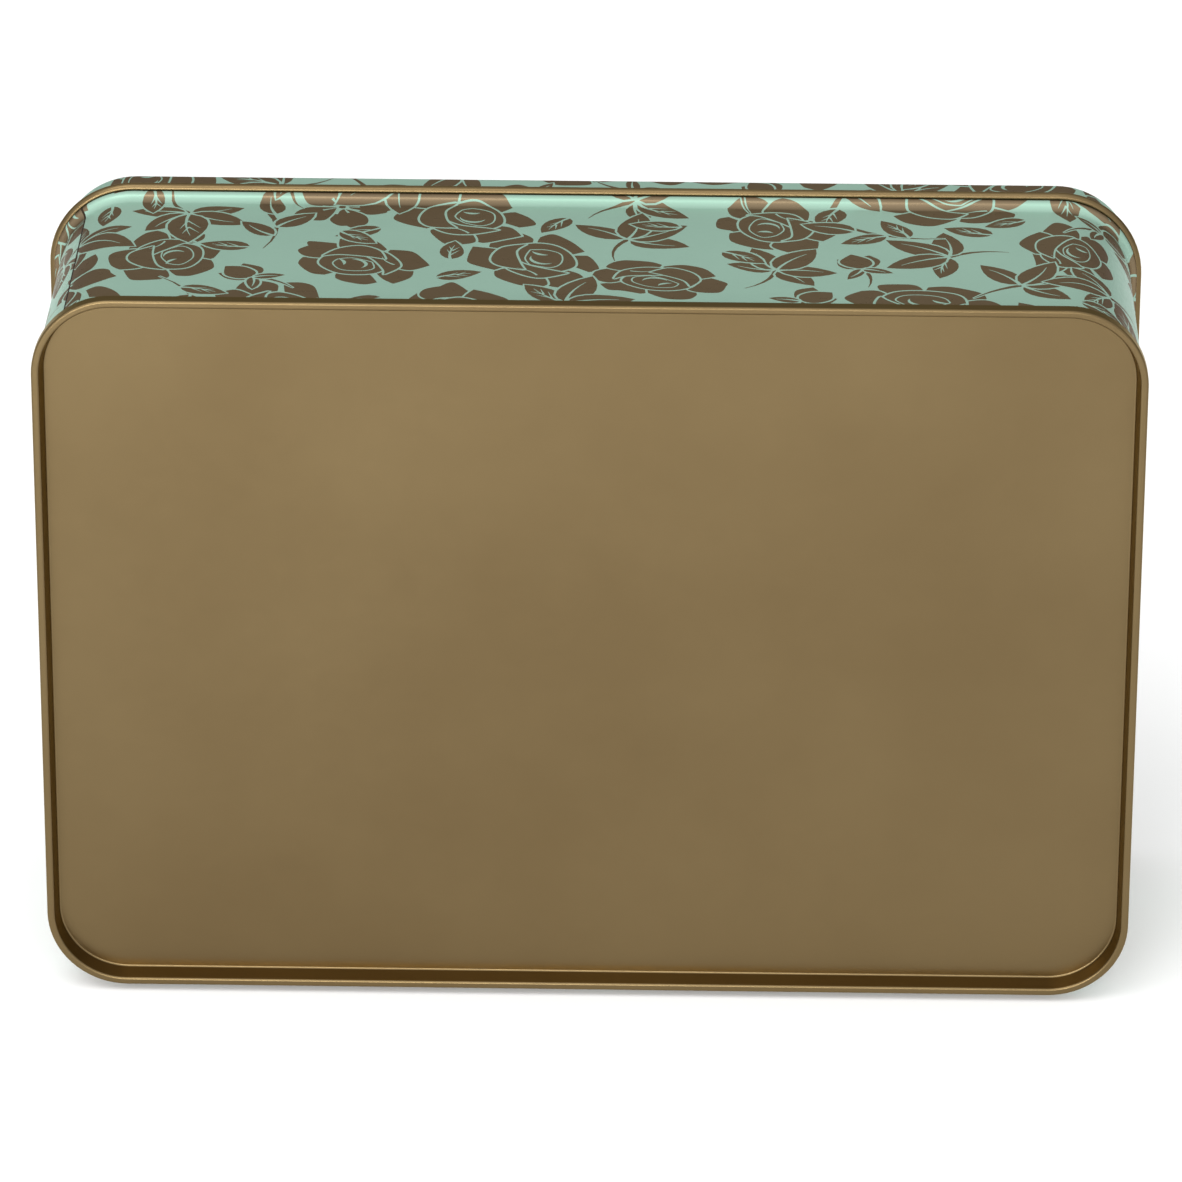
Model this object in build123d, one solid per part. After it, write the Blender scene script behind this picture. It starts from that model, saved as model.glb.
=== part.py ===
"""Rectangular slip-lid tin: a rolled body wall, a double-seamed base and a lift-off lid, in millimetres.

The tin stands on one long side wall. X runs along its width, Z up its height, and Y along its depth,
from the base rim at the front to the lid at the back. The origin is at the bottom centre of its box.

Every piece is one bent sheet, drawn as a section and carried round the tin's rounded rectangle.
A section has two coordinates: "out" is the distance outward from the outer face of the body wall,
and "deep" is the distance from the plane of the base rim towards the lid.
"""

from build123d import *
from math import cos, degrees, radians, sin, sqrt
import os

# Overall sizes
BASE_WIDTH = 200.0  # across the base seam, along X
BASE_HEIGHT = 137.0  # across the base seam, along Z
BASE_CORNER_RADIUS = 14.6  # outside of the base seam
BODY_DEPTH = 55.0  # base rim to the middle of the lid's curl
LID_RISE = 10.5  # middle of the lid's curl to the lid's raised panel
SHEET = 0.25  # tinplate of all three pieces

# Base double seam: five layers of sheet, with a gap between one and the next
LAYER_GAP = 0.05
SEAM_LENGTH = 2.9  # along the wall
HOOK_TIP_GAP = 0.1  # a hook's tip to the middle of the bend that it points into
RIM_BEND_RADIUS = 0.35  # middle line

# Recessed base panel
RECESS_DEPTH = 3.5  # rim plane to the panel's fillet
RECESS_LEAN = 9.0  # degrees inward
PANEL_FILLET_RADIUS = 0.5  # middle line
PANEL_LAND = 2.0  # flat between the fillet and the panel's plate

# Stop bead below the lid
BEAD_RISE = 1.3  # above the body wall
BEAD_FLARE_TURN = 48.0  # degrees
BEAD_CREST_RADIUS = 1.2  # middle line, on the wall's side
BEAD_RETURN_TURN = 70.0  # degrees
BEAD_RETURN_RADIUS = 0.45  # middle line

# Neck inside the lid
NECK_RISE = 0.1  # above the body wall
RIM_CURL_RADIUS = 0.65  # middle line of the rolled-in edge
RIM_CURL_TURN = 285.0  # degrees

# Folded side seam, along one of the two corners away from the wall that the tin stands on
SIDE_SEAM_ANGLE = 50.0  # degrees up from the X axis, round the corner
SIDE_SEAM_WIDTH = 4.0
SIDE_SEAM_FOLD = 0.5  # how far the folded layers stand inside the wall
SIDE_SEAM_GROOVE_WIDTH = 0.4
SIDE_SEAM_GROOVE_DEPTH = 0.12
SIDE_SEAM_MARGIN = 0.6  # clear of the base's panel and hooks, and of the bead

# Lid
LID_GAP = 0.3  # skirt to neck, and curl to bead
LID_CURL_RADIUS = 0.8  # middle line of the rolled-out edge
LID_CURL_TURN = 290.0  # degrees
LID_EDGE_RADIUS = 2.5  # middle line
LID_PANEL_RISE = 0.7  # raised panel above the rounded edge
LID_PANEL_INSET = 8.0  # wall line to the raised panel's step
LID_STEP_TURN = 40.0  # degrees
LID_STEP_RADIUS = 0.8  # middle line
LID_PANEL_LAND = 1.5  # flat between the step and the panel's plate

# Worked out from these
HALF = SHEET / 2
LAYER = SHEET + LAYER_GAP
SEAM_PROUD = 3 * LAYER
WALL_WIDTH = BASE_WIDTH - 2 * SEAM_PROUD
WALL_HEIGHT = BASE_HEIGHT - 2 * SEAM_PROUD
WALL_RADIUS = BASE_CORNER_RADIUS - SEAM_PROUD
FLANGE_BEND_DEEP = SHEET + LAYER_GAP + LAYER + HALF
HOOK_BEND_DEEP = SEAM_LENGTH - LAYER - HALF
SKIRT_MID = NECK_RISE + LID_GAP + HALF
LID_CURL_OUT = SKIRT_MID + LID_CURL_RADIUS
CURL_PROUD = LID_CURL_OUT + LID_CURL_RADIUS + HALF
OVERALL_DEPTH = BODY_DEPTH + LID_RISE
LID_EDGE_MID = OVERALL_DEPTH - LID_PANEL_RISE - HALF
FRONT_Y = -OVERALL_DEPTH / 2
CENTRE_Z = WALL_HEIGHT / 2 + CURL_PROUD


class Strip:
    """The section of a bent sheet, followed along its middle line by runs and bends."""

    def __init__(self, out, deep, heading):
        """Start at a place. The heading is in degrees: 0 goes out, 90 goes deep."""
        self.out = out
        self.deep = deep
        self.heading = heading
        self.left = []
        self.right = []

    def beside(self, out, deep, heading, distance):
        """The point at a distance to the left of a place, for a sheet with that heading."""
        angle = radians(heading)
        return (out - distance * sin(angle), deep + distance * cos(angle))

    def run(self, length):
        """Go straight on."""
        angle = radians(self.heading)
        out = self.out + length * cos(angle)
        deep = self.deep + length * sin(angle)
        for edges, side in ((self.left, HALF), (self.right, -HALF)):
            first = self.beside(self.out, self.deep, self.heading, side)
            last = self.beside(out, deep, self.heading, side)
            edges.append(Edge.make_line(first, last))
        self.out, self.deep = out, deep

    def run_out_to(self, out):
        """Go straight on as far as a value of out."""
        self.run((out - self.out) / cos(radians(self.heading)))

    def run_deep_to(self, deep):
        """Go straight on as far as a value of deep."""
        self.run((deep - self.deep) / sin(radians(self.heading)))

    def bend(self, radius, turn):
        """Follow an arc of the middle line. A positive turn goes from out towards deep."""
        inward = radius if turn > 0 else -radius
        centre = self.beside(self.out, self.deep, self.heading, inward)
        headings = [self.heading + turn * share for share in (0, 0.5, 1)]
        for edges, side in ((self.left, HALF), (self.right, -HALF)):
            arc = [self.beside(*centre, heading, side - inward) for heading in headings]
            edges.append(Edge.make_three_point_arc(*arc))
        self.heading += turn
        self.out, self.deep = self.beside(*centre, self.heading, -inward)

    def face(self):
        """The section as a face, with square ends."""
        start = Edge.make_line(self.left[0] @ 0, self.right[0] @ 0)
        end = Edge.make_line(self.left[-1] @ 1, self.right[-1] @ 1)
        return Face(Wire([*self.left, *self.right, start, end]))


def around(section):
    """Carry a section round the tin: straight along the walls, and turned at the corners."""
    at_corner = Pos(WALL_RADIUS, 0, 0) * section
    corner = revolve(at_corner, Axis.Y, 90)
    wide = WALL_WIDTH - 2 * WALL_RADIUS
    tall = WALL_HEIGHT - 2 * WALL_RADIUS
    pieces = []
    for quarter, (across, along) in enumerate(((wide, tall), (tall, wide)) * 2):
        side = extrude(at_corner, along, dir=(0, 0, 1))
        place = Rot(0, -90 * quarter, 0) * Pos(across / 2, 0, -along / 2)
        pieces += [place * side, place * corner]
    return Part() + pieces


def plate(out, deep):
    """The flat middle of a panel, as far as a value of out, with its front face at deep."""
    outline = RectangleRounded(WALL_WIDTH + 2 * out, WALL_HEIGHT + 2 * out, WALL_RADIUS + out)
    return Pos(0, deep, 0) * extrude(Plane.XZ * outline, SHEET, dir=(0, 1, 0))


def seam_block(width, deep_from, deep_to, out_from, out_to):
    """A strip along the side seam, between two values of deep and of out, curved with the corner."""
    turn = degrees(width / WALL_RADIUS)
    size = (out_to - out_from, deep_to - deep_from)
    middle = (WALL_RADIUS + (out_from + out_to) / 2, (deep_from + deep_to) / 2)
    block = revolve(Pos(*middle, 0) * Rectangle(*size), Axis.Y, turn)
    corner = Pos(WALL_RADIUS - WALL_WIDTH / 2, 0, WALL_HEIGHT / 2 - WALL_RADIUS)
    return corner * Rot(0, 180 + SIDE_SEAM_ANGLE - turn / 2, 0) * block


def base_strip():
    """Section of the base: round the body's flange, over the rim, down the recess, into the panel."""
    strip = Strip(LAYER_GAP + HALF, FLANGE_BEND_DEEP + HOOK_TIP_GAP, 90)
    strip.run_deep_to(HOOK_BEND_DEEP)
    strip.bend(LAYER, -180)
    strip.run_deep_to(RIM_BEND_RADIUS + HALF)
    strip.bend(RIM_BEND_RADIUS, -90)
    strip.run(4 * LAYER - 2 * RIM_BEND_RADIUS)
    strip.bend(RIM_BEND_RADIUS, -90)
    strip.bend(RIM_BEND_RADIUS, RECESS_LEAN)
    strip.run_deep_to(RECESS_DEPTH)
    strip.bend(PANEL_FILLET_RADIUS, 90 - RECESS_LEAN)
    strip.run(PANEL_LAND)
    return strip


def bead_peak_deep():
    """Where the stop bead is highest, so that the lid's curl seats LID_GAP from it."""
    between_centres = LID_CURL_RADIUS + HALF + LID_GAP + BEAD_RETURN_RADIUS + HALF
    sideways = LID_CURL_OUT - (BEAD_RISE - HALF - BEAD_RETURN_RADIUS)
    return BODY_DEPTH - sqrt(between_centres**2 - sideways**2)


def flare_radius():
    """Radius of the hollow below the bead, which with the crest gives the bead its rise."""
    return BEAD_RISE / (1 - cos(radians(BEAD_FLARE_TURN))) - BEAD_CREST_RADIUS


def flare_start_deep():
    """Where the straight wall ends and the flare up to the bead begins."""
    radii = flare_radius() + BEAD_CREST_RADIUS
    return bead_peak_deep() - radii * sin(radians(BEAD_FLARE_TURN))


def body_strip():
    """Section of the wall: flange hook, straight wall, stop bead, neck and rolled-in rim."""
    strip = Strip(LAYER + LAYER_GAP + HALF, HOOK_BEND_DEEP - HOOK_TIP_GAP, -90)
    strip.run_deep_to(FLANGE_BEND_DEEP)
    strip.bend(LAYER, -180)
    strip.run_deep_to(flare_start_deep())
    strip.bend(flare_radius(), -BEAD_FLARE_TURN)
    strip.bend(BEAD_CREST_RADIUS, BEAD_FLARE_TURN)
    drop_in_bends = 2 * BEAD_RETURN_RADIUS * (1 - cos(radians(BEAD_RETURN_TURN)))
    drop = BEAD_RISE - NECK_RISE - drop_in_bends
    strip.bend(BEAD_RETURN_RADIUS, BEAD_RETURN_TURN)
    strip.run(drop / sin(radians(BEAD_RETURN_TURN)))
    strip.bend(BEAD_RETURN_RADIUS, -BEAD_RETURN_TURN)
    strip.run_deep_to(LID_EDGE_MID - LID_EDGE_RADIUS - RIM_CURL_RADIUS - HALF)
    strip.bend(RIM_CURL_RADIUS, RIM_CURL_TURN)
    return strip


def lid_strip():
    """Section of the lid: raised panel, step, rounded edge, skirt and rolled-out curl."""
    turn = radians(LID_STEP_TURN)
    slope = (LID_PANEL_RISE - 2 * LID_STEP_RADIUS * (1 - cos(turn))) / sin(turn)
    step_width = 2 * LID_STEP_RADIUS * sin(turn) + slope * cos(turn)
    start_out = -LID_PANEL_INSET - step_width - LID_PANEL_LAND
    strip = Strip(start_out, OVERALL_DEPTH - HALF, 0)
    strip.run(LID_PANEL_LAND)
    strip.bend(LID_STEP_RADIUS, -LID_STEP_TURN)
    strip.run(slope)
    strip.bend(LID_STEP_RADIUS, LID_STEP_TURN)
    strip.run_out_to(SKIRT_MID - LID_EDGE_RADIUS)
    strip.bend(LID_EDGE_RADIUS, -90)
    strip.run_deep_to(BODY_DEPTH)
    strip.bend(LID_CURL_RADIUS, LID_CURL_TURN)
    return strip, start_out


def make_base():
    """The base: a seamed rim and a recessed flat panel, in one sheet."""
    strip = base_strip()
    return around(strip.face()) + plate(strip.out, strip.deep - HALF)


def make_body():
    """The body wall, with the folds of its side seam inside and the seam's fine line outside."""
    panel_inner_deep = base_strip().deep + HALF
    fold_from = panel_inner_deep + SIDE_SEAM_MARGIN
    wall_to = flare_start_deep() - SIDE_SEAM_MARGIN
    fold = seam_block(SIDE_SEAM_WIDTH, fold_from, wall_to, -SHEET - SIDE_SEAM_FOLD, -SHEET)
    groove = seam_block(
        SIDE_SEAM_GROOVE_WIDTH,
        SEAM_LENGTH + SIDE_SEAM_MARGIN,
        wall_to,
        -SIDE_SEAM_GROOVE_DEPTH,
        0,
    )
    return around(body_strip().face()) + fold - groove


def make_lid():
    """The lid: a drawn tray with a raised panel, in one sheet."""
    strip, panel_out = lid_strip()
    return around(strip.face()) + plate(panel_out, OVERALL_DEPTH - SHEET)


os.makedirs("parts", exist_ok=True)
nodes = {"body_wall": make_body(), "base_panel": make_base(), "lid": make_lid()}
for name, shape in nodes.items():
    export_step(Pos(0, FRONT_Y, CENTRE_Z) * shape, f"parts/{name}.step")
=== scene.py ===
"""Looks of the decorated slip-lid tin: fine bent sheets, a floral print and gold lacquer.

The three sheets are drawn in millimetres as sections carried round the tin's rounded rectangle, like
the CAD nodes that they replace. "out" is outward from the body wall's outer face, and "deep" runs
from the base rim towards the lid. The print is cut into the outer skins as ink regions of the mesh.
"""

from bisect import bisect_right
from math import atan2, ceil, cos, degrees, hypot, pi, radians, sin, sqrt
from random import Random

import bpy
from mathutils import Matrix, Vector
from mathutils.geometry import delaunay_2d_cdt


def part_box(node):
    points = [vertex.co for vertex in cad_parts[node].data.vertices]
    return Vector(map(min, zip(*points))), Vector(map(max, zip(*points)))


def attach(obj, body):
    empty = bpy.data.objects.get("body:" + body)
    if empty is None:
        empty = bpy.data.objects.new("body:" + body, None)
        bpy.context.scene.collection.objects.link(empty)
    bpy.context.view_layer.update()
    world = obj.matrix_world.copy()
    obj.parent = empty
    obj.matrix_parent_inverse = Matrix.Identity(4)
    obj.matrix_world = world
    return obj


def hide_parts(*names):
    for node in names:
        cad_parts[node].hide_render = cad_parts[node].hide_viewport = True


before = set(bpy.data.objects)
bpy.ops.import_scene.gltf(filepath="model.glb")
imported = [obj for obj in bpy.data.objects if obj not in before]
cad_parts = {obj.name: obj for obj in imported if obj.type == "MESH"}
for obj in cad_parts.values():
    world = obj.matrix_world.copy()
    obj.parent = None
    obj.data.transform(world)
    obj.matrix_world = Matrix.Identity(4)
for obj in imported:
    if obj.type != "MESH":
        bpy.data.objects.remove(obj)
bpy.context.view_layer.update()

MM = 0.001

# Sheet, base seam and recess, as the CAD sections have them
BASE_CORNER_RADIUS = 14.6
SHEET = 0.25
LAYER_GAP = 0.05
SEAM_LENGTH = 2.9
HOOK_TIP_GAP = 0.1
RIM_BEND_RADIUS = 0.35
RECESS_DEPTH = 3.5
RECESS_LEAN = 9.0
PANEL_FILLET_RADIUS = 0.5
PANEL_LAND = 2.0

# Stop bead, neck and rolled-in rim
BEAD_RISE = 1.3
BEAD_FLARE_TURN = 48.0
BEAD_CREST_RADIUS = 1.2
BEAD_RETURN_TURN = 70.0
BEAD_RETURN_RADIUS = 0.45
NECK_RISE = 0.1
RIM_CURL_RADIUS = 0.65
RIM_CURL_TURN = 285.0

# Side seam
SIDE_SEAM_ANGLE = 50.0
SIDE_SEAM_WIDTH = 4.0
SIDE_SEAM_FOLD = 0.5
SIDE_SEAM_GROOVE_WIDTH = 0.4
SIDE_SEAM_GROOVE_DEPTH = 0.12
SIDE_SEAM_MARGIN = 0.6

# Lid
LID_GAP = 0.3
LID_CURL_RADIUS = 0.8
LID_CURL_TURN = 290.0
LID_EDGE_RADIUS = 2.5
LID_PANEL_RISE = 0.7
LID_PANEL_INSET = 8.0
LID_STEP_TURN = 40.0
LID_STEP_RADIUS = 0.8
LID_PANEL_LAND = 1.5

# Places from the frame, in millimetres
HALF = SHEET / 2
LAYER = SHEET + LAYER_GAP
BASE_LOW, BASE_HIGH = (corner / MM for corner in map(Vector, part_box("base_panel")))
LID_LOW, LID_HIGH = (corner / MM for corner in map(Vector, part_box("lid")))
SEAM_PROUD = 3 * LAYER
WALL_WIDTH = BASE_HIGH.x - BASE_LOW.x - 2 * SEAM_PROUD
WALL_HEIGHT = BASE_HIGH.z - BASE_LOW.z - 2 * SEAM_PROUD
WALL_RADIUS = BASE_CORNER_RADIUS - SEAM_PROUD
FRONT_Y = BASE_LOW.y
CENTRE_Z = (BASE_LOW.z + BASE_HIGH.z) / 2
OVERALL_DEPTH = LID_HIGH.y - FRONT_Y
BODY_DEPTH = LID_LOW.y - FRONT_Y + LID_CURL_RADIUS + HALF
FLANGE_BEND_DEEP = SHEET + LAYER_GAP + LAYER + HALF
HOOK_BEND_DEEP = SEAM_LENGTH - LAYER - HALF
SKIRT_MID = NECK_RISE + LID_GAP + HALF
LID_CURL_OUT = SKIRT_MID + LID_CURL_RADIUS
LID_EDGE_MID = OVERALL_DEPTH - LID_PANEL_RISE - HALF
CORE_WIDE = WALL_WIDTH / 2 - WALL_RADIUS
CORE_TALL = WALL_HEIGHT / 2 - WALL_RADIUS

# Fineness of the meshes
BEND_STEP = 12.0  # degrees
CORNER_STEP = 5.0  # degrees
CURVE_STEPS = 7
WEDGE_STEPS = 5
CRESCENT_STEPS = 10
SEAM_FOLD_STEPS = 4
SNAP = 0.002  # mm, the distance within which two points are one
FLAT_SNAP = 1e-5  # mm, the same where a skin is cut up flat
FOLD_CLEARANCE = 0.01  # mm, from the side seam's fold to the wall's inner face

# Print
GAP = 0.42  # mint line round each inked shape
PRINT_MARGIN = 0.4  # from the ends of a printed skin, where it is out of sight
BLEED = 6.0  # how far past a skin's ends the print's motifs are centred
CRUMB = 0.02  # mm2, twice the smallest inked area that is kept
SHARP_TURN = 0.5  # length of two added unit steps, below which an outline turns back on itself
WEDGE_TAPER = 0.85  # share of its width that a wedge loses by its end
CRESCENT_TIP = 0.02  # mm, half the width of a crescent at its ends
WALL_SEED = 11
LID_SEED = 5
MINT, BROWN, SEAM_LINE, GOLD = range(4)


# ---------------------------------------------------------------- sections of the sheets


class Strip:
    """The middle line of a bent sheet, as places with a heading in degrees: 0 goes out, 90 goes deep."""

    def __init__(self, out, deep, heading):
        self.places = [(out, deep, heading)]

    def run(self, length):
        """Go straight on."""
        out, deep, heading = self.places[-1]
        angle = radians(heading)
        self.places.append((out + length * cos(angle), deep + length * sin(angle), heading))

    def run_out_to(self, goal):
        """Go straight on as far as a value of out."""
        out, _, heading = self.places[-1]
        self.run((goal - out) / cos(radians(heading)))

    def run_deep_to(self, goal):
        """Go straight on as far as a value of deep."""
        _, deep, heading = self.places[-1]
        self.run((goal - deep) / sin(radians(heading)))

    def bend(self, radius, turn):
        """Follow an arc of the middle line. A positive turn goes from out towards deep."""
        out, deep, heading = self.places[-1]
        side = radius if turn > 0 else -radius
        centre_out = out - side * sin(radians(heading))
        centre_deep = deep + side * cos(radians(heading))
        steps = max(2, ceil(abs(turn) / BEND_STEP))
        for step in range(1, steps + 1):
            angle = radians(heading + turn * step / steps)
            place = (centre_out + side * sin(angle), centre_deep - side * cos(angle))
            self.places.append((*place, degrees(angle)))

    def side(self, sign):
        """Points (out, deep, normal out, normal deep) along the left face, +1, or the right one, -1."""
        points = []
        for out, deep, heading in self.places:
            normal = (-sign * sin(radians(heading)), sign * cos(radians(heading)))
            points.append((out + HALF * normal[0], deep + HALF * normal[1], *normal))
        return points


def base_strip():
    """Section of the base: round the body's flange, over the rim, down the recess, into the panel."""
    strip = Strip(LAYER_GAP + HALF, FLANGE_BEND_DEEP + HOOK_TIP_GAP, 90)
    strip.run_deep_to(HOOK_BEND_DEEP)
    strip.bend(LAYER, -180)
    strip.run_deep_to(RIM_BEND_RADIUS + HALF)
    strip.bend(RIM_BEND_RADIUS, -90)
    strip.run(4 * LAYER - 2 * RIM_BEND_RADIUS)
    strip.bend(RIM_BEND_RADIUS, -90)
    strip.bend(RIM_BEND_RADIUS, RECESS_LEAN)
    strip.run_deep_to(RECESS_DEPTH)
    strip.bend(PANEL_FILLET_RADIUS, 90 - RECESS_LEAN)
    strip.run(PANEL_LAND)
    return strip


def flare_radius():
    """Radius of the hollow below the bead, which with the crest gives the bead its rise."""
    return BEAD_RISE / (1 - cos(radians(BEAD_FLARE_TURN))) - BEAD_CREST_RADIUS


def flare_start_deep():
    """Where the straight wall ends and the flare up to the bead begins, for a curl LID_GAP away."""
    between_centres = LID_CURL_RADIUS + HALF + LID_GAP + BEAD_RETURN_RADIUS + HALF
    sideways = LID_CURL_OUT - (BEAD_RISE - HALF - BEAD_RETURN_RADIUS)
    peak = BODY_DEPTH - sqrt(between_centres**2 - sideways**2)
    return peak - (flare_radius() + BEAD_CREST_RADIUS) * sin(radians(BEAD_FLARE_TURN))


def body_strip():
    """Section of the wall, and the range of its places that carries the print."""
    strip = Strip(LAYER + LAYER_GAP + HALF, HOOK_BEND_DEEP - HOOK_TIP_GAP, -90)
    strip.run_deep_to(FLANGE_BEND_DEEP)
    strip.bend(LAYER, -180)
    print_start = len(strip.places) - 1
    strip.run_deep_to(SEAM_LENGTH)
    strip.run_deep_to(flare_start_deep())
    strip.bend(flare_radius(), -BEAD_FLARE_TURN)
    strip.bend(BEAD_CREST_RADIUS, BEAD_FLARE_TURN)
    drop_in_bends = 2 * BEAD_RETURN_RADIUS * (1 - cos(radians(BEAD_RETURN_TURN)))
    drop = BEAD_RISE - NECK_RISE - drop_in_bends
    strip.bend(BEAD_RETURN_RADIUS, BEAD_RETURN_TURN)
    print_end = len(strip.places) - 1
    strip.run(drop / sin(radians(BEAD_RETURN_TURN)))
    strip.bend(BEAD_RETURN_RADIUS, -BEAD_RETURN_TURN)
    strip.run_deep_to(LID_EDGE_MID - LID_EDGE_RADIUS - RIM_CURL_RADIUS - HALF)
    strip.bend(RIM_CURL_RADIUS, RIM_CURL_TURN)
    return strip, print_start, print_end


def lid_strip():
    """Section of the lid, and the place where its print ends, at the start of the curl."""
    turn = radians(LID_STEP_TURN)
    slope = (LID_PANEL_RISE - 2 * LID_STEP_RADIUS * (1 - cos(turn))) / sin(turn)
    step_width = 2 * LID_STEP_RADIUS * sin(turn) + slope * cos(turn)
    start_out = -LID_PANEL_INSET - step_width - LID_PANEL_LAND
    strip = Strip(start_out, OVERALL_DEPTH - HALF, 0)
    strip.run(LID_PANEL_LAND)
    strip.bend(LID_STEP_RADIUS, -LID_STEP_TURN)
    strip.run(slope)
    strip.bend(LID_STEP_RADIUS, LID_STEP_TURN)
    strip.run_out_to(SKIRT_MID - LID_EDGE_RADIUS)
    strip.bend(LID_EDGE_RADIUS, -90)
    strip.run_deep_to(BODY_DEPTH)
    print_end = len(strip.places) - 1
    strip.bend(LID_CURL_RADIUS, LID_CURL_TURN)
    return strip, print_end


# ---------------------------------------------------------------- round the tin


def loop_places():
    """Places round the tin, from the side seam and back to it, clockwise as seen from the front.

    Each is the centre that its corner turns about, the outward direction there, and its angle.
    """
    seam = 180 - SIDE_SEAM_ANGLE
    groove = degrees(SIDE_SEAM_GROOVE_WIDTH / 2 / WALL_RADIUS)
    corners = (
        (-1, 1, seam - groove, 90),
        (1, 1, 90, 0),
        (1, -1, 0, -90),
        (-1, -1, -90, -180),
        (-1, 1, -180, seam + groove - 360),
    )
    places = [(-CORE_WIDE, CORE_TALL, seam)]
    for across, up, start, end in corners:
        steps = ceil((start - end) / CORNER_STEP)
        for step in range(steps + 1):
            angle = start + (end - start) * step / steps
            places.append((across * CORE_WIDE, up * CORE_TALL, angle))
    places.append((-CORE_WIDE, CORE_TALL, seam - 360))
    return [(x, z, cos(radians(angle)), sin(radians(angle)), angle) for x, z, angle in places]


LOOP = loop_places()


def loop_distances():
    """Distance along the wall's outer face from the side seam to each place of the loop."""
    distances = [0.0]
    for first, last in zip(LOOP, LOOP[1:]):
        turned = WALL_RADIUS * radians(first[4] - last[4])
        distances.append(distances[-1] + hypot(last[0] - first[0], last[1] - first[1]) + turned)
    return distances


LOOP_DISTANCE = loop_distances()
WALL_CELLS = [i for i, (first, last) in enumerate(zip(LOOP, LOOP[1:])) if first[:2] != last[:2]]


def mix(first, last, share):
    """Part of the way from one number to another."""
    return first + (last - first) * share


def between(first, last, share):
    """Part of the way from one row of numbers to another."""
    return [mix(a, b, share) for a, b in zip(first, last)]


def ring_spot(index, share, out, deep, normal_out=0.0, normal_deep=0.0):
    """A point and normal, part of the way from one place of the loop to the next."""
    x, z, across, up, _ = between(LOOP[index], LOOP[min(index + 1, len(LOOP) - 1)], share)
    reach = WALL_RADIUS + out
    point = (x + reach * across, FRONT_Y + deep, CENTRE_Z + z + reach * up)
    length = hypot(across, up)
    normal = (normal_out * across / length, normal_deep, normal_out * up / length)
    return point, normal


def cell(values, value):
    """The interval of a rising list that holds a value, and how far along it, snapped to its ends."""
    index = min(max(bisect_right(values, value) - 1, 0), len(values) - 2)
    length = values[index + 1] - values[index]
    share = (value - values[index]) / length
    if abs(share) * length < SNAP:
        return index, 0.0
    if abs(1 - share) * length < SNAP:
        return index, 1.0
    return index, share


class Shell:
    """The faces of one closed sheet, each with a normal at every corner and a material."""

    def __init__(self):
        self.numbers = {}
        self.points = []
        self.faces = []
        self.normals = []
        self.materials = []

    def number(self, point):
        """The number of a vertex, shared by all faces that meet at that point."""
        key = tuple(round(value / SNAP) for value in point)
        if key not in self.numbers:
            self.numbers[key] = len(self.points)
            self.points.append(tuple(value * MM for value in point))
        return self.numbers[key]

    def add(self, spots, material):
        """Add a face by its (point, normal) corners, facing the way of its normals."""
        corners = [(self.number(point), Vector(point), Vector(normal)) for point, normal in spots]
        corners = [corner for i, corner in enumerate(corners) if corner[0] != corners[i - 1][0]]
        if len({corner[0] for corner in corners}) < 3:
            return
        facing = Vector()
        for i, corner in enumerate(corners):
            facing += (corners[i - 1][1] - corners[0][1]).cross(corner[1] - corners[0][1])
        if facing.dot(sum((corner[2] for corner in corners), Vector())) < 0:
            corners.reverse()
        self.faces.append([corner[0] for corner in corners])
        self.normals.extend(corner[2].normalized() for corner in corners)
        self.materials.append(material)

    def rings(self, side, material):
        """Faces all round the tin between the points of a section's side."""
        for first, last in zip(side, side[1:]):
            for index in range(len(LOOP) - 1):
                spots = [ring_spot(index, 0, *first), ring_spot(index + 1, 0, *first)]
                spots += [ring_spot(index + 1, 0, *last), ring_spot(index, 0, *last)]
                self.add(spots, material)

    def end(self, left, right, normal, material):
        """The cut edge of the sheet, all round the tin."""
        self.rings([(*left[:2], *normal), (*right[:2], *normal)], material)

    def plate(self, point, material):
        """The flat middle of a panel, inside the ring at a point of a section's side."""
        self.add([ring_spot(index, 0, *point) for index in range(len(LOOP) - 1)], material)

    def piece(self, name, materials):
        """The finished object."""
        mesh = bpy.data.meshes.new(name)
        mesh.from_pydata(self.points, [], self.faces)
        mesh.polygons.foreach_set("use_smooth", [True] * len(self.faces))
        mesh.polygons.foreach_set("material_index", self.materials)
        for material in materials:
            mesh.materials.append(material)
        mesh.normals_split_custom_set([tuple(normal) for normal in self.normals])
        piece = bpy.data.objects.new(name, mesh)
        bpy.context.collection.objects.link(piece)
        return piece


# ---------------------------------------------------------------- shapes of the print


def curve(start, pull_start, pull_end, end):
    """Points of a Bezier curve, without its end."""
    points = []
    for step in range(CURVE_STEPS):
        t = step / CURVE_STEPS
        weights = ((1 - t) ** 3, 3 * t * (1 - t) ** 2, 3 * t * t * (1 - t), t**3)
        controls = (start, pull_start, pull_end, end)
        points.append(tuple(sum(w * c[axis] for w, c in zip(weights, controls)) for axis in (0, 1)))
    return points


def moved(points, x=0.0, y=0.0, turn=0.0, size=1.0, flip=1):
    """Points mirrored if flip is -1, scaled, turned by degrees, then shifted."""
    c, s = cos(radians(turn)) * size, sin(radians(turn)) * size
    return [(x + px * c - py * flip * s, y + px * s + py * flip * c) for px, py in points]


def signed_area(points):
    """Twice the area of an outline, positive when it runs anticlockwise."""
    return sum(a[0] * b[1] - a[1] * b[0] for a, b in zip(points, points[1:] + points[:1]))


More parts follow.
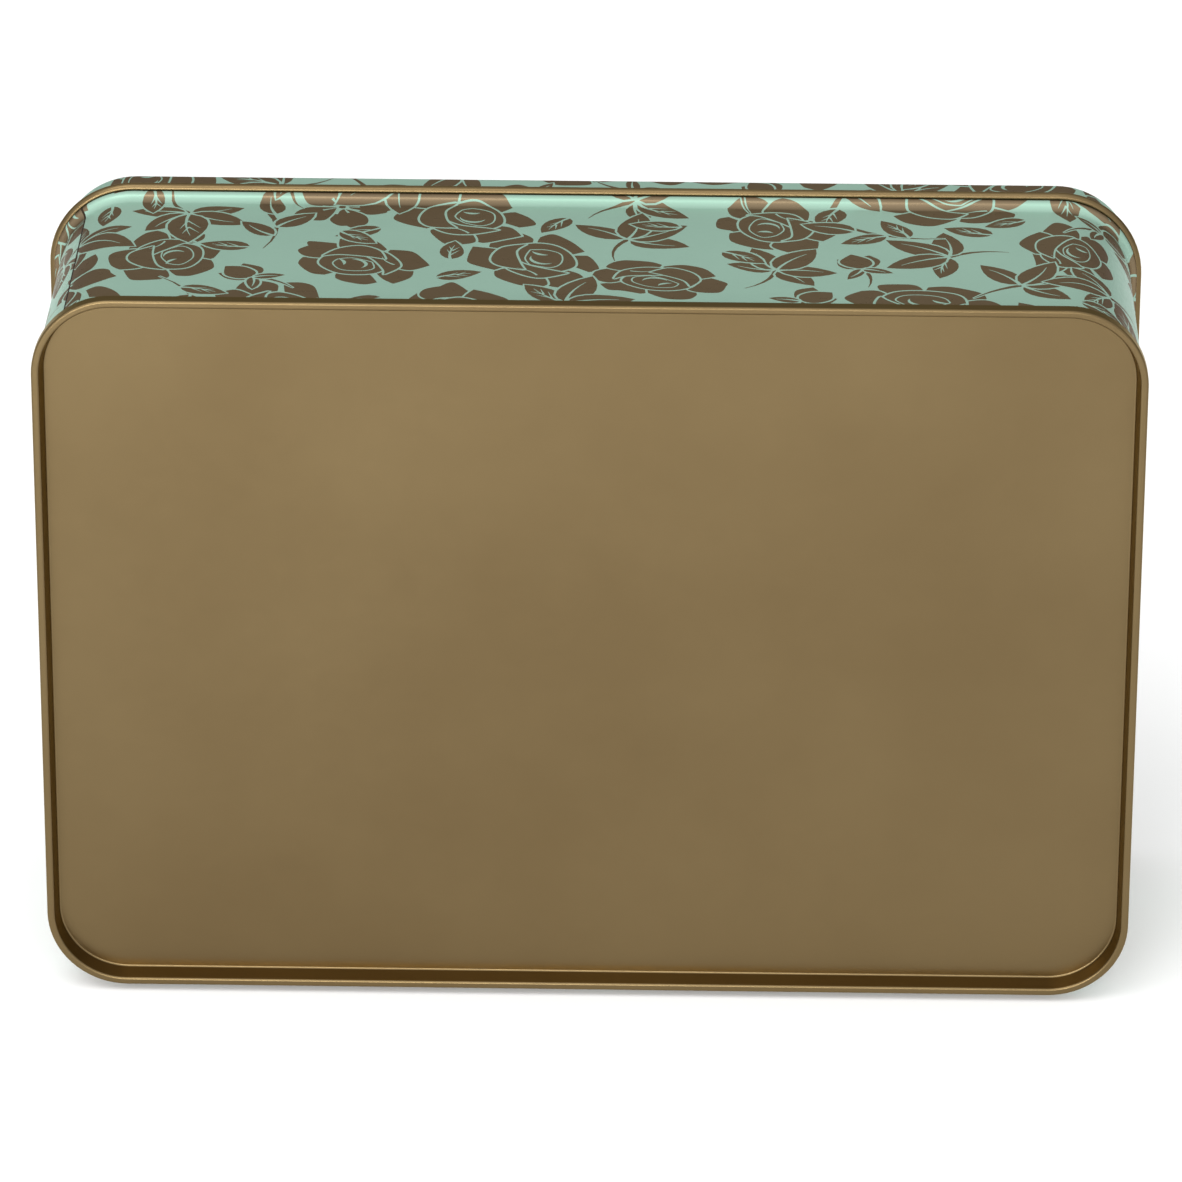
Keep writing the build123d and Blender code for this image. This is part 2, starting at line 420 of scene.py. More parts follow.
def swollen(points, distance):
    """An outline moved outward by a distance."""
    sign = 1 if signed_area(points) > 0 else -1
    result = []
    for before, here, after in zip(points[-1:] + points[:-1], points, points[1:] + points[:1]):
        along = Vector((here[0] - before[0], here[1] - before[1])).normalized()
        along += Vector((after[0] - here[0], after[1] - here[1])).normalized()
        if along.length < SHARP_TURN:
            along = Vector((here[0] - before[0], here[1] - before[1])).normalized()
            along = Vector((-sign * along.y, sign * along.x))
        along.normalize()
        result.append((here[0] + sign * distance * along.y, here[1] - sign * distance * along.x))
    return result


def inked(points, gap=GAP):
    """A brown shape on a slightly larger mint one."""
    return [(swollen(points, gap), MINT), (points, BROWN)]


def shifted(shapes, **move):
    """Shapes moved together."""
    return [(moved(points, **move), ink) for points, ink in shapes]


def wedge(start, end, width, bow=0.0):
    """A thin line that tapers to its end, bowed sideways in its middle."""
    (x0, y0), (x1, y1) = start, end
    length = hypot(x1 - x0, y1 - y0)
    nx, ny = -(y1 - y0) / length, (x1 - x0) / length
    left, right = [], []
    for step in range(WEDGE_STEPS + 1):
        t = step / WEDGE_STEPS
        lift = bow * 4 * t * (1 - t)
        half = width * (1 - WEDGE_TAPER * t) / 2
        x, y = mix(x0, x1, t) + nx * lift, mix(y0, y1, t) + ny * lift
        left.append((x + nx * half, y + ny * half))
        right.append((x - nx * half, y - ny * half))
    return right + left[::-1]


def leaf(length, width, lean=0.0, veins=True):
    """A pointed leaf along X from its stalk, with a mint midrib and side veins."""
    tip = (length, lean)
    outline = curve((0, 0), (0.12 * length, 0.72 * width), (0.62 * length, 0.66 * width + lean), tip)
    outline += curve(tip, (0.7 * length, lean - 0.5 * width), (0.2 * length, -0.78 * width), (0, 0))
    shapes = inked(outline)
    shapes.append((wedge((-0.2, 0), (0.76 * length, 0.6 * lean), 0.62, 0.05 * length), MINT))
    if veins:
        for place, reach in ((0.24, 0.27), (0.46, 0.22)):
            root = (place * length, 0.5 * place * lean + 0.03 * length)
            for hand in (1, -1):
                vein = (root[0] + reach * length, root[1] + hand * reach * width * 0.95)
                shapes.append((wedge(root, vein, 0.36), MINT))
    return shapes


def smooth(points):
    """A closed outline through a few points, rounded at each unless it has a third value."""
    count = len(points)
    slopes = []
    for i, point in enumerate(points):
        before, after = points[i - 1], points[(i + 1) % count]
        slope = ((after[0] - before[0]) / 6, (after[1] - before[1]) / 6)
        slopes.append((0.0, 0.0) if len(point) > 2 else slope)
    outline = []
    for i, start in enumerate(points):
        end = points[(i + 1) % count]
        leave, arrive = slopes[i], slopes[(i + 1) % count]
        pull_start = (start[0] + leave[0], start[1] + leave[1])
        pull_end = (end[0] - arrive[0], end[1] - arrive[1])
        outline += curve(start[:2], pull_start, pull_end, end[:2])
    return outline


def jittered(rng, points, amount):
    """Points moved a little, each its own way."""
    result = []
    for x, y, *mark in points:
        result.append((x + rng.uniform(-amount, amount), y + rng.uniform(-amount, amount), *mark))
    return result


def crescent(radius, sweep, width):
    """A curved line of an arc, thick in its middle and pointed at its ends."""
    outer, inner = [], []
    for step in range(CRESCENT_STEPS + 1):
        share = step / CRESCENT_STEPS
        angle = radians(sweep * share)
        half = width / 2 * sin(pi * share) + CRESCENT_TIP
        outer.append(((radius + half) * cos(angle), (radius + half) * sin(angle)))
        inner.append(((radius - half) * cos(angle), (radius - half) * sin(angle)))
    return outer + inner[::-1]


# A rose seen from a little below: outer petals from the back, then the cup, then the rolled heart.
# A third value marks a corner that stays sharp.
ROSE_OUTER = (
    ((-1, 3), (-5, 4), (-8.6, 6.4, 1), (-8, 9.4), (-4.6, 10.6), (-1.4, 10.2, 1), (-0.4, 8)),
    ((0, 4), (0.4, 9.6, 1), (4, 11.2), (8, 9.6), (9.4, 6.4, 1), (6, 3)),
    ((-4, 1), (-8, 4.8), (-11.6, 4, 1), (-12.4, 0.4), (-10.4, -3), (-8, -3.6, 1), (-5, -3)),
    ((5, 1), (8.4, 4.6), (12, 3.6), (12.4, 0.6, 1), (13, -2.4), (9.6, -5, 1), (5, -4)),
    ((-6, -2), (-9.6, -3.8), (-10.4, -7, 1), (-7.6, -9.6), (-3.6, -10), (-0.6, -8.6, 1), (-2, -4)),
    ((0.4, -4), (-0.2, -8.6, 1), (3, -11.2), (7.4, -10), (9.4, -6.4, 1), (6, -3)),
)
ROSE_CUP = (
    ((-6.2, 0), (-5.4, 4.6), (-1, 7.4), (4.2, 6.6), (6.6, 3), (6.2, -1.6), (2, -4), (-3, -4)),
    ((-7.2, 2.6, 1), (-5.6, 0.6), (-1.6, -2.2), (2.2, -3.6, 1), (0.6, -6.6), (-3.6, -6.6), (-6.8, -3)),
    ((6.9, 2.2, 1), (5.2, -0.6), (0.8, -3.4), (-2.6, -4.2, 1), (0.6, -7.4), (4.6, -6.6), (7.2, -2.6)),
)
ROSE_HEART = ((-4.2, 0.8), (-3.4, 3.8), (0, 5.4), (3.2, 4.4), (4, 1.8, 1), (1.6, -0.8), (-1.6, -1.4, 1))


def rose(rng):
    """A full-blown rose."""
    shapes = []
    for petals, amount in ((ROSE_OUTER, 0.9), (ROSE_CUP, 0.5)):
        for petal in petals:
            shapes += inked(smooth(jittered(rng, petal, amount)), 0.45)
    shapes += inked(smooth(jittered(rng, ROSE_HEART, 0.4)), 0.3)
    for x, y, radius, start, sweep in ((0, 1.8, 2.4, 170, 150), (3.6, 4.2, 2.6, 190, 75)):
        turn = start + rng.uniform(-25, 25)
        shapes.append((moved(crescent(radius, sweep, 0.7), x=x, y=y, turn=turn), MINT))
    shapes.append((wedge((-5.9, -3.2), (-1.6, -4.9), 0.5, 0.5), MINT))
    wide, tall = rng.uniform(0.95, 1.1), rng.uniform(0.72, 0.92)
    return [([(x * wide, y * tall) for x, y in points], ink) for points, ink in shapes]


PETAL = (
    (0, 0, 1), (1.6, 1.8), (4, 3.2), (6.2, 2.6), (6.9, 1.5, 1),
    (8.6, 0.2, 1), (6.6, -2), (4, -2.9), (1.6, -1.6),
)
BUD_PETAL = ((0, 0, 1), (1.4, 2), (4, 2.4), (6.2, 0.4, 1), (4.2, -1.7), (1.4, -1.8))


def blossom(rng):
    """An open five-petalled flower with stamens."""
    shapes = []
    start = rng.uniform(0, 360)
    for number in range(5):
        turn = start + number * 72 + rng.uniform(-7, 7)
        size = rng.uniform(1.04, 1.22)
        outline = smooth(jittered(rng, PETAL, 0.35))
        foot = dict(x=1.1 * cos(radians(turn)), y=1.1 * sin(radians(turn)))
        flip = rng.choice((1, -1))
        shapes += inked(moved(outline, turn=turn, size=size, flip=flip, **foot), 0.4)
    for number in range(9):
        turn = radians(start + 17 + number * 40 + rng.uniform(-8, 8))
        reach = rng.uniform(2.6, 3.9)
        foot, top = (0.7 * cos(turn), 0.7 * sin(turn)), (reach * cos(turn), reach * sin(turn))
        shapes.append((wedge(top, foot, 0.55), MINT))
    dot = [(0.7 * cos(t * pi / 4), 0.7 * sin(t * pi / 4)) for t in range(8)]
    return shapes + inked(dot, 0.25)


def sprig(rng, leaves):
    """Leaves that spread from the top of a curved stalk."""
    stalk_end = (-10.0, rng.uniform(-3.5, 3.5))
    shapes = inked(wedge((0, 0), stalk_end, 1.05, rng.uniform(-1.8, 1.8)), 0.3)
    turns = {3: (58, -54, 2), 4: (84, -76, 36, -22), 5: (112, -104, 58, -52, 3)}[leaves]
    for turn in turns:
        length = rng.uniform(10.6, 12.8) * (1.1 - abs(turn) / 330)
        width = length * rng.uniform(0.44, 0.54)
        blade = leaf(length, width, rng.uniform(-1.6, 1.6), rng.random() < 0.25)
        angle = turn + rng.uniform(-6, 6)
        shapes += shifted(blade, x=0.5 * cos(radians(angle)), y=0.5 * sin(radians(angle)), turn=angle)
    return shapes


def twig(rng):
    """A long curved stalk with leaves along it and one at its tip."""
    bow = rng.choice((-1.8, 1.8))
    shapes = inked(wedge((6.0, 0), (-10.5, 0), 1.1, -bow), 0.3)
    for place, turn in ((-4.6, 46), (-0.8, -42), (5.0, 8)):
        length = rng.uniform(8.2, 10.4)
        lift = bow * (1 - (place / 9.5) ** 2)
        width = length * rng.uniform(0.46, 0.56)
        blade = leaf(length, width, rng.uniform(-0.9, 0.9), rng.random() < 0.5)
        shapes += shifted(blade, x=place, y=lift, turn=turn)
    return shapes


def bud(rng):
    """A closed bud on a stalk with two small leaves."""
    shapes = inked(wedge((-1.5, 0), (-10.0, rng.uniform(-2, 2)), 1.0, 0.9), 0.3)
    for turn, size, flip in ((26, 1.0, 1), (-24, 1.05, -1), (0, 1.1, 1)):
        outline = smooth(jittered(rng, BUD_PETAL, 0.25))
        shapes += inked(moved(outline, x=-1.5, turn=turn, size=size, flip=flip))
    for turn in (132, -128):
        shapes += shifted(leaf(5.6, 2.3, 0.5, False), x=-1.6, turn=turn)
    return shapes


def spray(leaves):
    """A sprig of that many leaves, as a motif."""
    return lambda rng: sprig(rng, leaves)


def lone_leaf(rng):
    """A small leaf, alike each time."""
    return leaf(8.5, 4.2, 0.8)


MOTIFS = (  # motif, the space that it keeps round it, and the most on each 1000 mm2 of sheet
    (rose, 11.4, 0.72),
    (blossom, 7.8, 0.35),
    (spray(5), 8.8, 0.6),
    (spray(4), 7.8, 0.7),
    (twig, 6.8, 0.8),
    (bud, 5.4, 0.7),
    (spray(3), 5.8, 1.1),
    (lone_leaf, 3.6, 1.6),
)
TRIES = 60  # for each motif wanted


def scatter(seed, low, high):
    """Motifs spread over a rectangle of sheet, big ones first, each clear of those before it."""
    rng = Random(seed)
    taken = []
    shapes = []
    thousands = (high[0] - low[0]) * (high[1] - low[1]) / 1000
    for motif, space, most in MOTIFS:
        wanted = round(thousands * most)
        for _ in range(wanted * TRIES):
            x, y = rng.uniform(low[0], high[0]), rng.uniform(low[1], high[1])
            if wanted == 0:
                break
            if any(hypot(x - other[0], y - other[1]) < space + other[2] for other in taken):
                continue
            wanted -= 1
            taken.append((x, y, space))
            move = dict(x=x, y=y, turn=rng.uniform(0, 360), size=rng.uniform(0.98, 1.12))
            shapes += shifted(motif(rng), flip=rng.choice((1, -1)), **move)
    return shapes


def clipped(points, fence):
    """The part of an outline inside a convex anticlockwise fence."""
    for a, b in zip(fence, fence[1:] + fence[:1]):
        if len(points) < 3:
            return []
        across = [(b[0] - a[0]) * (p[1] - a[1]) - (b[1] - a[1]) * (p[0] - a[0]) for p in points]
        if min(across) >= 0:
            continue
        kept = []
        for i, (here, side) in enumerate(zip(points, across)):
            before, side_before = points[i - 1], across[i - 1]
            if (side >= 0) != (side_before >= 0):
                t = side_before / (side_before - side)
                kept.append((mix(before[0], here[0], t), mix(before[1], here[1], t)))
            if side >= 0:
                kept.append(here)
        points = kept
    return points


def kept_inside(shapes, fence):
    """The shapes cut off at a fence, without the crumbs that this leaves."""
    cut = [(clipped(points, fence), ink) for points, ink in shapes]
    return [(points, ink) for points, ink in cut if len(points) > 2 and abs(signed_area(points)) > CRUMB]


def printed_skin(shell, outline, lines, shapes, spot):
    """Cut a flat skin along the mesh's own lines and the print's outlines, and carry it onto the tin."""
    points, faces, inks = [], [], []

    def numbered(new_points):
        first = len(points)
        points.extend(Vector(point) for point in new_points)
        return list(range(first, len(points)))

    faces.append(numbered(outline))
    inks.append(MINT)
    edges = [tuple(numbered(line)) for line in lines]
    for shape, ink in shapes:
        faces.append(numbered(shape if signed_area(shape) > 0 else shape[::-1]))
        inks.append(ink)
    cut_points, _, cut_faces, _, _, face_origins = delaunay_2d_cdt(points, edges, faces, 1, FLAT_SNAP)
    spots = [spot(*point) for point in cut_points]
    for face, origins in zip(cut_faces, face_origins):
        if 0 in origins:
            shell.add([spots[number] for number in face], inks[max(origins)])


# ---------------------------------------------------------------- the three sheets


def lengths_along(side):
    """Distance along a section's side from its first point to each point."""
    distances = [0.0]
    for first, last in zip(side, side[1:]):
        distances.append(distances[-1] + hypot(last[0] - first[0], last[1] - first[1]))
    return distances


def wall_skin(shell, side):
    """The printed outside of the body wall. Flat, it is one long strip from side seam to side seam."""
    depths = lengths_along(side)
    around = LOOP_DISTANCE
    groove = around[1]
    last_row = len(side) - 1

    def spot(along, depth):
        index, share = cell(around, along)
        row, row_share = cell(depths, depth)
        out, deep, normal_out, normal_deep = between(side[row], side[row + 1], row_share)
        at_end = row + row_share in (0, last_row)
        if (index + share) % (len(LOOP) - 1) == 0 and not at_end:
            out -= SIDE_SEAM_GROOVE_DEPTH
        return ring_spot(index, share, out, deep, normal_out, normal_deep)

    outline = [(along, 0.0) for along in around]
    outline += [(along, depths[-1]) for along in reversed(around)]
    lines = [((along, 0.0), (along, depths[-1])) for along in around[1:-1]]
    lines += [((0.0, depth), (around[-1], depth)) for depth in depths[1:-1]]
    low, high = (groove, PRINT_MARGIN), (around[-1] - groove, depths[-1] - PRINT_MARGIN)
    fence = [low, (high[0], low[1]), high, (low[0], high[1])]
    motifs = scatter(WALL_SEED, (-BLEED, -BLEED), (high[0] + BLEED, high[1] + BLEED))
    shapes = kept_inside(motifs, fence)
    for start, end in ((0.0, groove), (around[-1] - groove, around[-1])):
        corners = [(start, PRINT_MARGIN), (end, PRINT_MARGIN), (end, high[1]), (start, high[1])]
        shapes.append((corners, SEAM_LINE))
    printed_skin(shell, outline, lines, shapes, spot)


def lid_skin(shell, side):
    """The printed outside of the lid. Flat, it is a rounded rectangle, as the blank was printed."""
    reaches = [WALL_RADIUS + side[0][0] + length for length in lengths_along(side)]
    angles = [-place[4] for place in LOOP]

    def flat(index, reach):
        x, z, across, up, _ = LOOP[index]
        return x + reach * across, z + reach * up

    def spot(x, z):
        core_x = min(max(x, -CORE_WIDE), CORE_WIDE)
        core_z = min(max(z, -CORE_TALL), CORE_TALL)
        across, up = x - core_x, z - core_z
        if hypot(across, up) < reaches[0] - SNAP:
            return (x, FRONT_Y + side[0][1], CENTRE_Z + z), (0.0, 1.0, 0.0)
        if abs(across) < SNAP or abs(up) < SNAP:
            reach, index, share = on_wall(x, z, across, up)
        else:
            angle = degrees(atan2(up, across))
            clockwise = angle if angle <= LOOP[0][4] else angle - 360
            index = min(bisect_right(angles, -clockwise) - 1, len(LOOP) - 2)
            a, b = LOOP[index][2:4], LOOP[index + 1][2:4]
            area = a[0] * b[1] - a[1] * b[0]
            weight_a = (across * b[1] - up * b[0]) / area
            weight_b = (a[0] * up - a[1] * across) / area
            reach = weight_a + weight_b
            share = weight_b / reach
        share = 0.0 if share < SNAP else 1.0 if 1 - share < SNAP else share
        row, row_share = cell(reaches, reach)
        return ring_spot(index, share, *between(side[row], side[row + 1], row_share))

    def on_wall(x, z, across, up):
        top, right, bottom, left = WALL_CELLS
        if abs(up) > abs(across):
            index = top if up > 0 else bottom
            share = (x - LOOP[index][0]) / (LOOP[index + 1][0] - LOOP[index][0])
        else:
            index = right if across > 0 else left
            share = (z - LOOP[index][1]) / (LOOP[index + 1][1] - LOOP[index][1])
        return max(abs(across), abs(up)), index, share

    count = len(LOOP) - 1
    lines = [(flat(i, reaches[0]), flat(i, reaches[-1])) for i in range(count)]
    for reach in reaches[:-1]:
        lines += [(flat(i, reach), flat(i + 1, reach)) for i in range(count)]
    outline = [flat(i, reaches[-1]) for i in range(count)][::-1]
    fence = [flat(i, reaches[-1] - PRINT_MARGIN) for i in range(count)][::-1]
    high = (CORE_WIDE + reaches[-1], CORE_TALL + reaches[-1])
    shapes = kept_inside(scatter(LID_SEED, (-high[0], -high[1]), high), fence)
    printed_skin(shell, outline, lines, shapes, spot)


def seam_fold(shell):
    """The side seam's folded layers, a low strip inside the wall."""
    low = base_strip().places[-1][1] + HALF + SIDE_SEAM_MARGIN
    high = flare_start_deep() - SIDE_SEAM_MARGIN
    turn = degrees(SIDE_SEAM_WIDTH / WALL_RADIUS)
    rows = []
    for step in range(SEAM_FOLD_STEPS + 1):
        angle = radians(180 - SIDE_SEAM_ANGLE + turn * (step / SEAM_FOLD_STEPS - 0.5))
        rows.append((cos(angle), sin(angle)))

    def spot(row, out, deep, normal):
        reach = WALL_RADIUS + out
        point = (-CORE_WIDE + reach * row[0], FRONT_Y + deep, CENTRE_Z + CORE_TALL + reach * row[1])
        return point, normal

    inner, outer = -SHEET - SIDE_SEAM_FOLD, -SHEET - FOLD_CLEARANCE
    for a, b in zip(rows, rows[1:]):
        for out, facing in ((inner, -1), (outer, 1)):
            na, nb = (facing * a[0], 0, facing * a[1]), (facing * b[0], 0, facing * b[1])
            face = [spot(a, out, low, na), spot(b, out, low, nb)]
            face += [spot(b, out, high, nb), spot(a, out, high, na)]
            shell.add(face, GOLD)
        for deep, facing in ((low, -1), (high, 1)):
            normal = (0, facing, 0)
            face = [spot(a, inner, deep, normal), spot(b, inner, deep, normal)]
            face += [spot(b, outer, deep, normal), spot(a, outer, deep, normal)]
            shell.add(face, GOLD)
    for row, hand in ((rows[0], 1), (rows[-1], -1)):
        normal = (hand * row[1], 0, -hand * row[0])
        face = [spot(row, inner, low, normal), spot(row, outer, low, normal)]
        face += [spot(row, outer, high, normal), spot(row, inner, high, normal)]
        shell.add(face, GOLD)


def heading_normal(place, sign):
    """The direction out of a sheet's end."""
    return sign * cos(radians(place[2])), sign * sin(radians(place[2]))


def make_body(materials):
    """The body wall: print outside, gold lacquer inside."""
    strip, start, end = body_strip()
    shell = Shell()
    inside, outside = strip.side(1), strip.side(-1)
    shell.rings(inside, GOLD)
    shell.rings(outside[: start + 1], GOLD)
    shell.rings(outside[end:], GOLD)
    wall_skin(shell, outside[start : end + 1])
    shell.end(inside[0], outside[0], heading_normal(strip.places[0], -1), GOLD)
    shell.end(inside[-1], outside[-1], heading_normal(strip.places[-1], 1), GOLD)
    seam_fold(shell)
    return shell.piece("printed_body_wall", materials)


def make_base(materials):
    """The base: gold lacquer on both sides."""
    strip = base_strip()
    shell = Shell()
    front, back = strip.side(1), strip.side(-1)
    for side in (front, back):
        shell.rings(side, GOLD)
        shell.plate(side[-1], GOLD)
    shell.end(front[0], back[0], heading_normal(strip.places[0], -1), GOLD)
    return shell.piece("gold_base", materials)


def make_lid(materials):
    """The lid: print outside, gold lacquer inside and on the curl."""
    strip, end = lid_strip()
    shell = Shell()
    outside, inside = strip.side(1), strip.side(-1)
    shell.rings(inside, GOLD)
    shell.plate(inside[0], GOLD)
    lid_skin(shell, outside[: end + 1])
    shell.rings(outside[end:], GOLD)
    shell.end(inside[-1], outside[-1], heading_normal(strip.places[-1], 1), GOLD)
    return shell.piece("printed_lid", materials)


# ---------------------------------------------------------------- materials


# Scales of the noise that varies tone and gloss, larger for finer
TONE_DRIFT = 18.0
INK_GRAIN = 900
GOLD_GRAIN = 700

# The middle of a noise's range that is carried to the whole range of a tone or a gloss
TONE_BAND = (0.35, 0.65)
GLOSS_BAND = (0.3, 0.7)

GRAIN_DETAIL = 5.0
GRAIN_STRETCH = (0.35, 1, 1)
GRAIN_STRENGTH = 0.12
GRAIN_DEPTH = 0.00002  # m
GLOSS_DRIFT = 0.035  # either side of a material's roughness
COAT_ROUGHNESS = 0.22


def srgb(red, green, blue):
    """A display colour of 0 to 255 as the linear values that a shader takes."""
    linear = [((v / 255 + 0.055) / 1.055) ** 2.4 for v in (red, green, blue)]
    return (*linear, 1.0)


def new_material(name):
    """A material with its node tree and its main shader."""
    material = bpy.data.materials.new(name)
    material.use_nodes = True
    shader = material.node_tree.nodes["Principled BSDF"]
    return material, material.node_tree, shader


def noise(tree, scale, detail=4.0, stretch=(1, 1, 1)):
    """Noise over the object's own space, with a stretch along its axes."""
    place = tree.nodes.new("ShaderNodeTexCoord")
    mapping = tree.nodes.new("ShaderNodeMapping")
    mapping.inputs["Scale"].default_value = stretch
    texture = tree.nodes.new("ShaderNodeTexNoise")
    texture.inputs["Scale"].default_value = scale
    texture.inputs["Detail"].default_value = detail
    tree.links.new(place.outputs["Object"], mapping.inputs["Vector"])
    tree.links.new(mapping.outputs["Vector"], texture.inputs["Vector"])
    return texture.outputs["Fac"]


def ramp(tree, value, low, high):
    """The middle of a value's range carried to between two colours."""
    node = tree.nodes.new("ShaderNodeValToRGB")
    node.color_ramp.elements[0].position = TONE_BAND[0]
    node.color_ramp.elements[1].position = TONE_BAND[1]
    node.color_ramp.elements[0].color = low
    node.color_ramp.elements[1].color = high
    tree.links.new(value, node.inputs["Fac"])
    return node.outputs["Color"]


def spread(tree, value, low, high):
    """A value carried from the middle of its range to between two numbers."""
    node = tree.nodes.new("ShaderNodeMapRange")
    node.inputs["From Min"].default_value = GLOSS_BAND[0]
    node.inputs["From Max"].default_value = GLOSS_BAND[1]
    node.inputs["To Min"].default_value = low
    node.inputs["To Max"].default_value = high
    tree.links.new(value, node.inputs["Value"])
    return node.outputs["Result"]


def bump(tree, value, strength, distance):
    """A fine relief from a value."""
    node = tree.nodes.new("ShaderNodeBump")
    node.inputs["Strength"].default_value = strength
    node.inputs["Distance"].default_value = distance
    tree.links.new(value, node.inputs["Height"])
    return node.outputs["Normal"]


def coated_metal(name, dark, light, edge, metallic, roughness, coat=0.0, grain=INK_GRAIN):
    """Lacquer or ink on rolled tinplate: a slow drift of tone, the sheet's rolling grain, and gloss."""
    material, tree, shader = new_material(name)
    drift = noise(tree, TONE_DRIFT)
    fine = noise(tree, grain, GRAIN_DETAIL, GRAIN_STRETCH)
    colour = ramp(tree, drift, srgb(*dark), srgb(*light))
    rough = spread(tree, fine, roughness - GLOSS_DRIFT, roughness + GLOSS_DRIFT)
    tree.links.new(colour, shader.inputs["Base Color"])
    shader.inputs["Metallic"].default_value = metallic
    tree.links.new(rough, shader.inputs["Roughness"])
    tree.links.new(bump(tree, fine, GRAIN_STRENGTH, GRAIN_DEPTH), shader.inputs["Normal"])
    shader.inputs["Specular Tint"].default_value = srgb(*edge)
    shader.inputs["Coat Weight"].default_value = coat
    shader.inputs["Coat Roughness"].default_value = COAT_ROUGHNESS
    return material


def make_materials():
    """Mint ink, brown ink, the dark line of the side seam, and gold lacquer, numbered as in the shells."""
    mint = (145, 178, 161), (151, 184, 167), (150, 190, 170)
    brown = (123, 107, 84), (130, 114, 90), (130, 115, 88)
    seam = (44, 36, 28), (54, 44, 34), (120, 100, 70)
    gold = (108, 91, 62), (114, 97, 67), (240, 225, 190)
    return [
        coated_metal("mint_ink", *mint, metallic=0.3, roughness=0.36, coat=0.1),
        coated_metal("brown_ink", *brown, metallic=0.72, roughness=0.3, coat=0.02),
        coated_metal("seam_line", *seam, metallic=0.3, roughness=0.5),
        coated_metal("gold_lacquer", *gold, metallic=1.0, roughness=0.32, coat=0.05, grain=GOLD_GRAIN),
    ]


# ---------------------------------------------------------------- studio


BRIGHT_SIDE = (-0.1, -0.6, 0.79)  # where the studio's soft light comes from
SKY_RANGE = (-0.2, 0.95, 0.3, 1.35)  # from darkest to brightest side, and how bright
FLOOR_GLOW = 0.12
FLOOR_WHITE = (0.88, 0.88, 0.88, 1)
FLOOR_HALF = 30.0  # m
LIGHTS = (  # name, place and size in metres, and power in watts
    ("key", (-0.6, -1.1, 2.0), (1.2, 1.2), 13),
    ("low_fill", (-0.2, -0.75, 0.2), (0.5, 0.15), 2.5),
    ("front_fill", (0, -1.7, 0.8), (1.4, 0.3), 5),
)
CAMERA_DISTANCE = 1300.0  # mm
CAMERA_PITCH = 24.3  # degrees down
CAMERA_TURN = -1.08
CAMERA_ROLL = 0.22
CAMERA_AIM = (0.5, 12.9)  # across and above the middle of the base
CAMERA_LENS = 218.6
CAMERA_SENSOR = 36  # mm
CAMERA_REACH = 100  # m


def add_camera():
    """The camera in front of the base, a little above it."""
    pitch, turn, roll = radians(CAMERA_PITCH), radians(CAMERA_TURN), radians(CAMERA_ROLL)
    right = Vector((cos(turn), -sin(turn), 0))
    forward = Vector((sin(turn) * cos(pitch), cos(turn) * cos(pitch), -sin(pitch)))
    up = right.cross(forward)
    rolled_right = right * cos(roll) + up * sin(roll)
    rolled_up = up * cos(roll) - right * sin(roll)
    aim = Vector((CAMERA_AIM[0], FRONT_Y, CENTRE_Z + CAMERA_AIM[1])) * MM
    camera = bpy.data.objects.new("camera", bpy.data.cameras.new("camera"))
    axes = Matrix((rolled_right, rolled_up, -forward)).transposed().to_4x4()
    camera.matrix_world = Matrix.Translation(aim - forward * CAMERA_DISTANCE * MM) @ axes
    camera.data.lens = CAMERA_LENS
    camera.data.sensor_width = CAMERA_SENSOR
    camera.data.clip_end = CAMERA_REACH
    bpy.context.collection.objects.link(camera)
    bpy.context.scene.camera = camera


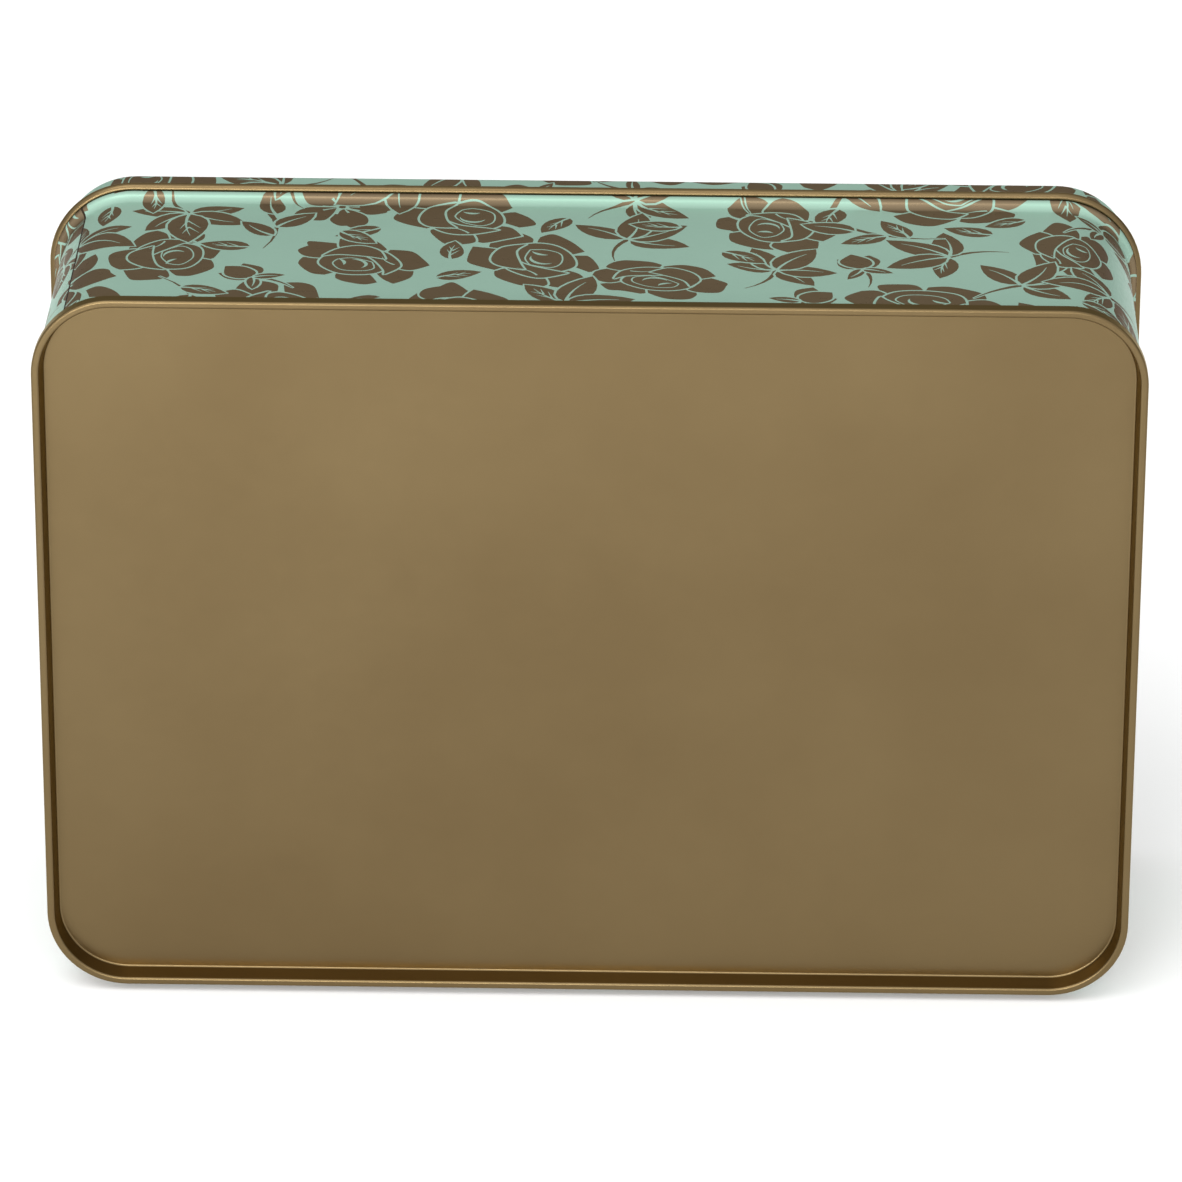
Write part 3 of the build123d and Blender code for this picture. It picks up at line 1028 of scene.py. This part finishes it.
def add_floor():
    """A wide pale floor."""
    mesh = bpy.data.meshes.new("floor")
    corners = [(x * FLOOR_HALF, y * FLOOR_HALF, 0) for x, y in ((-1, -1), (1, -1), (1, 1), (-1, 1))]
    mesh.from_pydata(corners, [], [(0, 1, 2, 3)])
    material, _, shader = new_material("floor")
    shader.inputs["Roughness"].default_value = 0.9
    shader.inputs["Base Color"].default_value = FLOOR_WHITE
    shader.inputs["Specular IOR Level"].default_value = 0.1
    shader.inputs["Emission Color"].default_value = (1, 1, 1, 1)
    shader.inputs["Emission Strength"].default_value = FLOOR_GLOW
    mesh.materials.append(material)
    floor = bpy.data.objects.new("floor", mesh)
    bpy.context.collection.objects.link(floor)


def add_light(name, place, size, power):
    """A soft rectangle of light that faces the tin."""
    light = bpy.data.lights.new(name, "AREA")
    light.shape = "RECTANGLE"
    light.size, light.size_y = size
    light.energy = power
    lamp = bpy.data.objects.new(name, light)
    lamp.location = place
    aim = Vector((0, 0, CENTRE_Z * MM)) - Vector(place)
    lamp.rotation_euler = aim.to_track_quat("-Z", "Y").to_euler()
    bpy.context.collection.objects.link(lamp)


def add_studio():
    """Plain soft studio light."""
    world = bpy.data.worlds.new("studio")
    world.use_nodes = True
    tree = world.node_tree
    direction = tree.nodes.new("ShaderNodeTexCoord")
    toward = tree.nodes.new("ShaderNodeVectorMath")
    toward.operation = "DOT_PRODUCT"
    toward.inputs[1].default_value = Vector(BRIGHT_SIDE).normalized()
    tree.links.new(direction.outputs["Generated"], toward.inputs[0])
    glow = tree.nodes.new("ShaderNodeMapRange")
    for name, value in zip(("From Min", "From Max", "To Min", "To Max"), SKY_RANGE):
        glow.inputs[name].default_value = value
    tree.links.new(toward.outputs["Value"], glow.inputs["Value"])
    seen = tree.nodes.new("ShaderNodeLightPath")
    choice = tree.nodes.new("ShaderNodeMix")
    choice.data_type = "FLOAT"
    choice.inputs["B"].default_value = 1.0
    tree.links.new(seen.outputs["Is Camera Ray"], choice.inputs["Factor"])
    tree.links.new(glow.outputs["Result"], choice.inputs["A"])
    background = tree.nodes["Background"]
    background.inputs["Color"].default_value = (1, 1, 1, 1)
    tree.links.new(choice.outputs["Result"], background.inputs["Strength"])
    bpy.context.scene.world = world
    bpy.context.scene.view_settings.view_transform = "Standard"
    for light in LIGHTS:
        add_light(*light)


materials = make_materials()
wall = make_body(materials)
base = make_base(materials)
lid = make_lid(materials)
for piece, node, body, slot in (
    (wall, "body_wall", "tin_body", "printed_wall"),
    (base, "base_panel", "tin_body", "gold_base"),
    (lid, "lid", "lid", "printed_lid"),
):
    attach(piece, body)
    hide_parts(node)

add_camera()
add_floor()
add_studio()
